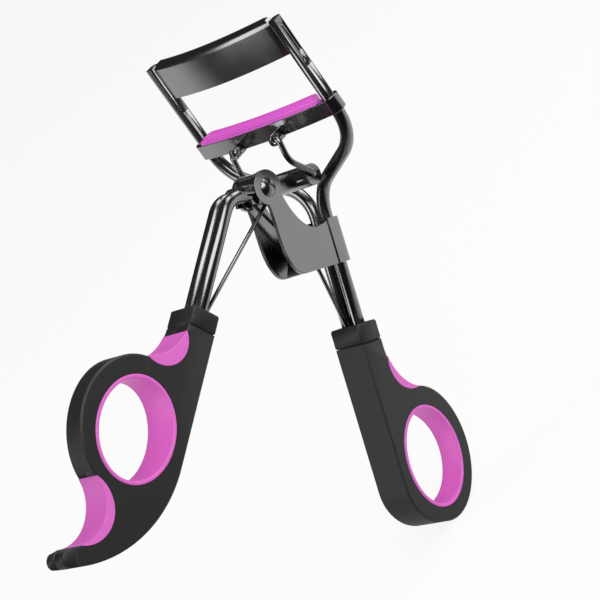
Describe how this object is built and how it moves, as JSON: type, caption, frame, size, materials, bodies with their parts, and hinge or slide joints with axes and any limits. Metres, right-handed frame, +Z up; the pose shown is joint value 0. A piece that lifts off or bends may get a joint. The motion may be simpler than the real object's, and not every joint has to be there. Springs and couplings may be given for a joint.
{
  "type": "eyelash curler",
  "caption": "Hand-held eyelash curler with scissor handles, oval finger rings, a bowed jaw on two posts, a sliding padded jaw and a return spring.",
  "frame": {"origin": "centre of the whole tool's footprint, at the lowest point of the fixed finger loop", "axes": "+Z up along the two jaw posts, +Y along the pivot rivet, +X towards the moving handle"},
  "size_m": [0.101, 0.0406, 0.104],
  "materials": {
    "black_metal": "gloss",
    "black_plastic": "matte",
    "pink_plastic": "satin",
    "pink_rubber": "matte"
  },
  "bodies": {
    "frame": {"frame_rod_left": "black_metal", "frame_rod_right": "black_metal", "upper_jaw": "black_metal", "hinge_bracket": "black_metal", "pivot_rivet": "black_metal", "torsion_spring": "black_metal", "fixed_handle_collar": "black_plastic", "fixed_handle_left_shell": "black_plastic", "fixed_handle_right_shell": "black_plastic", "fixed_finger_ring": "pink_plastic", "fixed_notch_pad": "pink_plastic"},
    "moving_handle": {"lever": "black_metal", "lever_rod_left": "black_metal", "lever_rod_right": "black_metal", "spring_moving_leg": "black_metal", "moving_handle_collar": "black_plastic", "moving_handle_left_shell": "black_plastic", "moving_handle_right_shell": "black_plastic", "moving_finger_ring": "pink_plastic", "upper_notch_pad": "pink_plastic", "lower_notch_pad": "pink_plastic"},
    "lower_jaw": {"lower_jaw": "black_metal", "lash_pad": "pink_rubber"},
    "push_link": {"push_link": "black_metal"}
  },
  "joints": [
    {"name": "handle_pivot", "type": "hinge", "parent": "frame", "child": "moving_handle", "pos_m": [-0.03634, 0, 0.07655], "axis": [0, 1, 0], "range_deg": [0, 52], "stiffness_Nm_per_rad": 0.06, "springref_deg": -28.65},
    {"name": "lower_jaw_slide", "type": "slide", "parent": "frame", "child": "lower_jaw", "axis": [0, 0, 1], "range_m": [0, 0.0086]},
    {"name": "link_pivot", "type": "hinge", "parent": "moving_handle", "child": "push_link", "pos_m": [-0.04524, 0, 0.07245], "axis": [0, 1, 0], "range_deg": [-52, 0]}
  ],
  "couplings": [
    {"joint": "lower_jaw_slide", "follows": "handle_pivot", "m_per_rad": 0.0094638},
    {"joint": "link_pivot", "follows": "handle_pivot", "ratio": -1}
  ]
}
